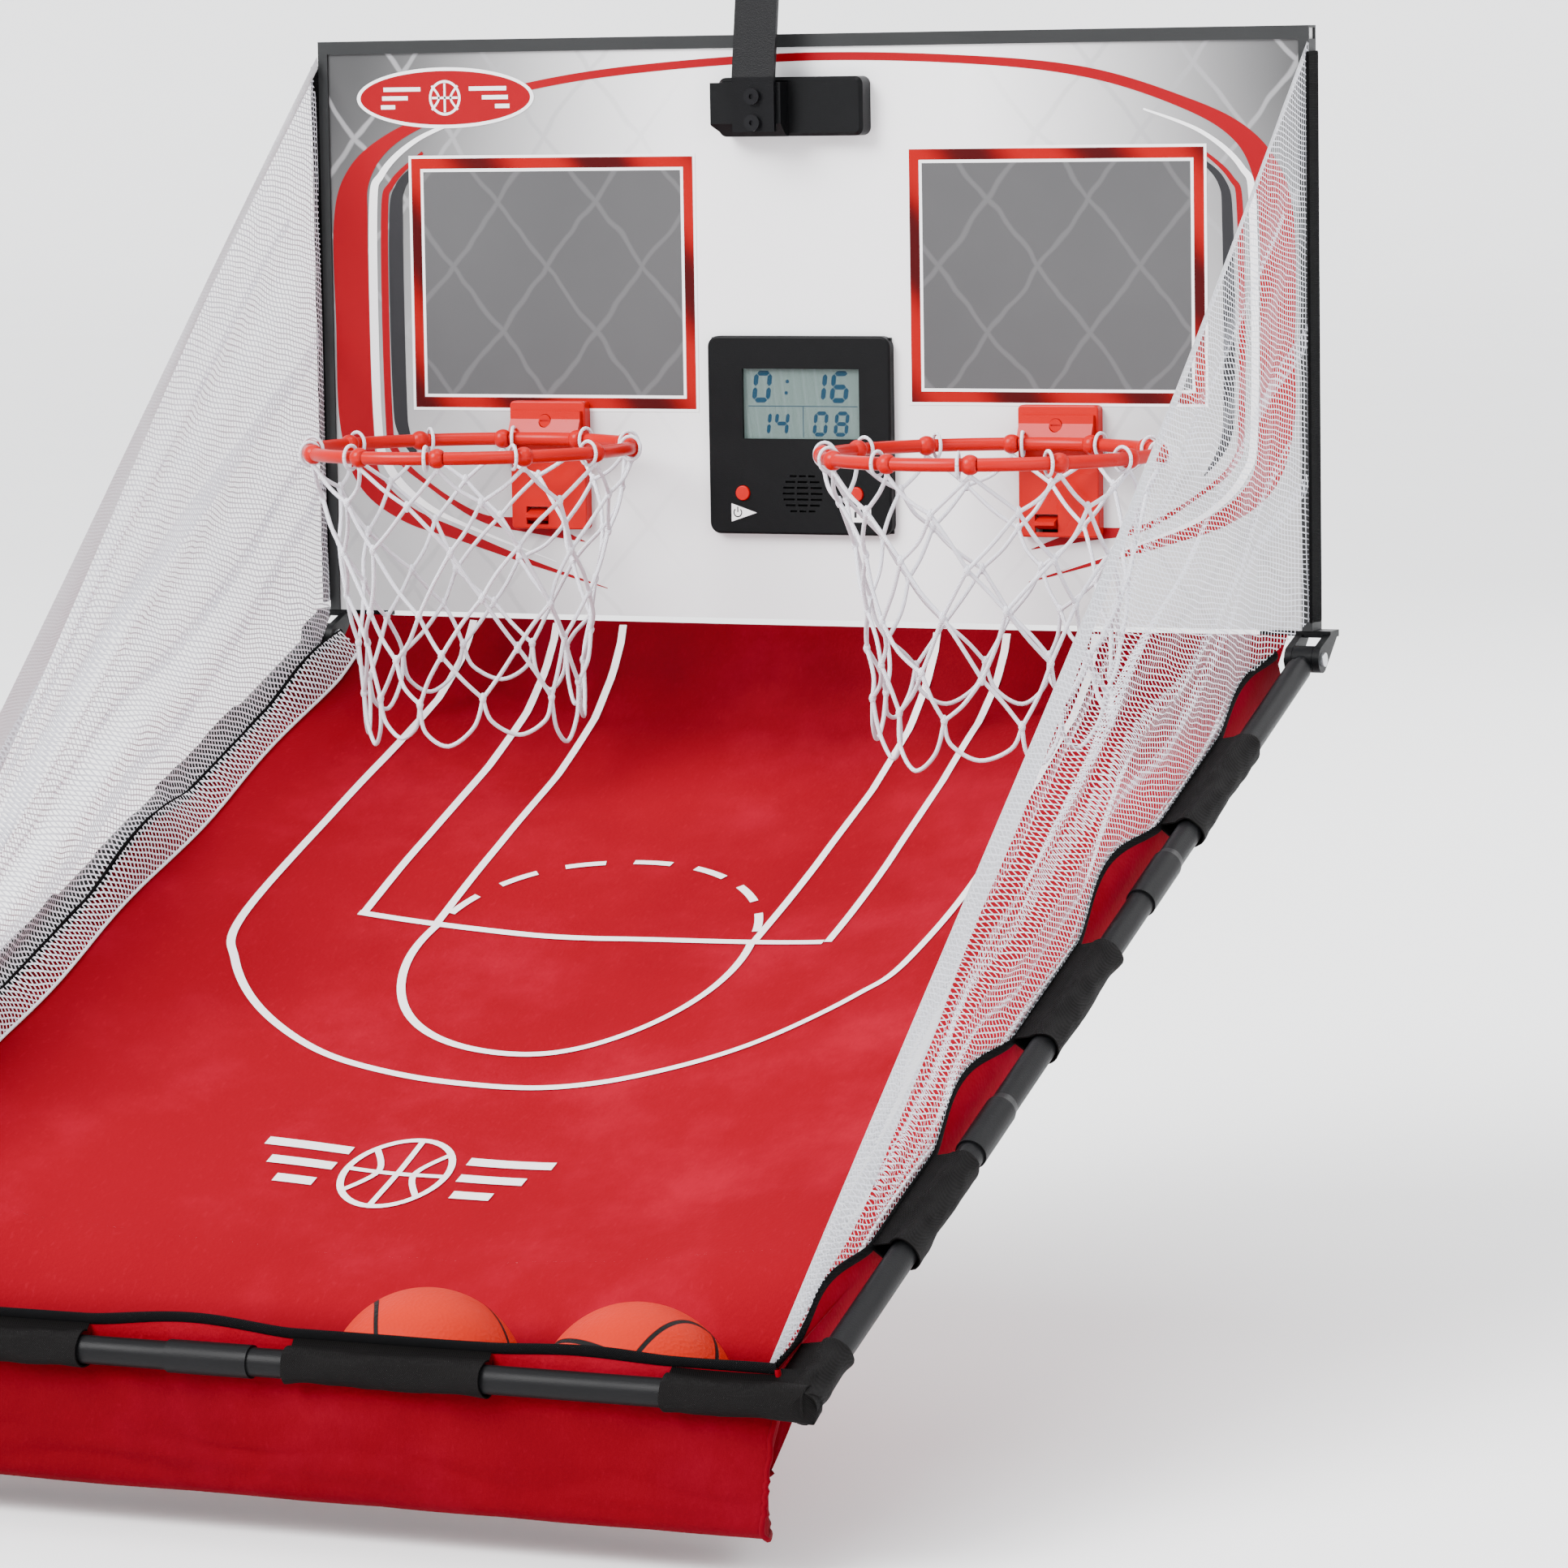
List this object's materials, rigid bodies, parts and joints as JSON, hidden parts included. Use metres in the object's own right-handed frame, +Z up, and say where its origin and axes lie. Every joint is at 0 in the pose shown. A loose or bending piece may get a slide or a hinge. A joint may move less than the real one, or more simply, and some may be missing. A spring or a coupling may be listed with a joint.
{
  "type": "basketball hoop machine",
  "caption": "Over-the-door arcade basketball game: printed backboard with hoops, nets and a scorer, and a folding cloth ramp with a ball pocket and mesh sides.",
  "frame": {"origin": "the door's top front edge on the game's centre plane: the hook's lined underside lies on Z = 0 and the foam pads touch Y = 0", "axes": "+Z up, +Y into the door, -Y towards the player, +X to the player's right"},
  "size_m": [0.685, 0.8666, 0.8559],
  "materials": {
    "printed_board": "printed sheet, satin",
    "edge_trim": "extruded, satin",
    "hanger_steel": "powder coat, satin",
    "foam": "closed-cell foam",
    "black_plastic": "moulded, fine texture",
    "dark_fastener": "black zinc",
    "steel_fastener": "zinc plated",
    "hook_and_loop": "hook-and-loop pile",
    "clear_lens": "clear moulded",
    "liquid_crystal": "grey-green display film",
    "circuit": "green laminate",
    "speaker_black": "paper cone and steel frame",
    "switch_black": "moulded",
    "cell_can": "plain wrapped can",
    "contact_metal": "nickel plated",
    "red_plastic": "moulded, semi-gloss",
    "red_fastener": "painted",
    "red_button": "moulded",
    "net_cord": "braided cord",
    "side_mesh": "knitted mesh",
    "white_webbing": "woven tape",
    "black_tube": "powder coat",
    "sleeve_cloth": "woven nylon",
    "court_cloth": "printed nonwoven",
    "ball_rubber": "pebbled rubber"
  },
  "bodies": {
    "board": {"backboard_panel": "printed_board", "top_edge_trim": "edge_trim", "left_edge_trim": "edge_trim", "right_edge_trim": "edge_trim", "hanger_strap": "hanger_steel", "hook_liner": "foam", "hanger_block": "black_plastic", "hanger_bolts": "dark_fastener", "door_pads": "foam", "left_net_strip": "hook_and_loop", "right_net_strip": "hook_and_loop", "scorer_front_shell": "black_plastic", "scorer_rear_shell": "black_plastic", "scorer_screws": "steel_fastener", "display_window": "clear_lens", "display_panel": "liquid_crystal", "circuit_board": "circuit", "speaker": "speaker_black", "button_switches": "switch_black", "battery_cells": "cell_can", "battery_contacts": "contact_metal", "left_hoop_plate": "red_plastic", "right_hoop_plate": "red_plastic", "left_hoop_ring": "red_plastic", "right_hoop_ring": "red_plastic", "left_hoop_net": "net_cord", "right_hoop_net": "net_cord", "hoop_screws": "red_fastener", "score_tab_pins": "steel_fastener", "score_switches": "switch_black", "left_corner_bracket": "black_plastic", "right_corner_bracket": "black_plastic", "bracket_screws": "steel_fastener", "hinge_pins": "steel_fastener"},
    "ramp": {"hinge_knuckles": "black_plastic", "left_rear_tube": "black_tube", "left_middle_tube": "black_tube", "left_front_tube": "black_tube", "right_rear_tube": "black_tube", "right_middle_tube": "black_tube", "right_front_tube": "black_tube", "left_corner_elbow": "black_plastic", "right_corner_elbow": "black_plastic", "left_front_bar": "black_tube", "right_front_bar": "black_tube", "frame_sleeves": "sleeve_cloth", "court_sling": "court_cloth", "ball_pocket": "court_cloth", "left_side_net": "side_mesh", "right_side_net": "side_mesh", "left_top_band": "white_webbing", "right_top_band": "white_webbing"},
    "first_ball": {"first_ball": "ball_rubber"},
    "second_ball": {"second_ball": "ball_rubber"},
    "power_button": {"power_button": "red_button"},
    "mode_button": {"mode_button": "red_button"},
    "battery_cover": {"battery_cover": "black_plastic", "battery_cover_screw": "steel_fastener"},
    "left_score_tab": {"left_score_tab": "red_plastic"},
    "right_score_tab": {"right_score_tab": "red_plastic"}
  },
  "joints": [
    {"name": "ramp_fold", "type": "hinge", "parent": "board", "child": "ramp", "pos_m": [0, -0.044, -0.47456], "axis": [-1, 0, 0], "range_deg": [0, 45], "deforming": ["left_side_net", "right_side_net", "left_top_band", "right_top_band", "left_hoop_net", "right_hoop_net"]},
    {"name": "first_ball_lift", "type": "slide", "parent": "ramp", "child": "first_ball", "axis": [0, 0, 1], "range_m": [0, 0.15]},
    {"name": "second_ball_lift", "type": "slide", "parent": "ramp", "child": "second_ball", "axis": [0, 0, 1], "range_m": [0, 0.15]},
    {"name": "power_button_press", "type": "slide", "parent": "board", "child": "power_button", "axis": [0, 1, 0], "range_m": [0, 0.0008], "stiffness_N_per_m": 900, "springref_m": -0.0006},
    {"name": "mode_button_press", "type": "slide", "parent": "board", "child": "mode_button", "axis": [0, 1, 0], "range_m": [0, 0.0008], "stiffness_N_per_m": 900, "springref_m": -0.0006},
    {"name": "battery_cover_off", "type": "slide", "parent": "board", "child": "battery_cover", "axis": [0, 1, 0], "range_m": [0, 0.03]},
    {"name": "left_score_tab_press", "type": "hinge", "parent": "board", "child": "left_score_tab", "pos_m": [-0.179, -0.0329, -0.3941], "axis": [1, 0, 0], "range_deg": [0, 10], "stiffness_Nm_per_rad": 0.03, "springref_deg": -8.59},
    {"name": "right_score_tab_press", "type": "hinge", "parent": "board", "child": "right_score_tab", "pos_m": [0.163, -0.0329, -0.3941], "axis": [1, 0, 0], "range_deg": [0, 10], "stiffness_Nm_per_rad": 0.03, "springref_deg": -8.59}
  ]
}
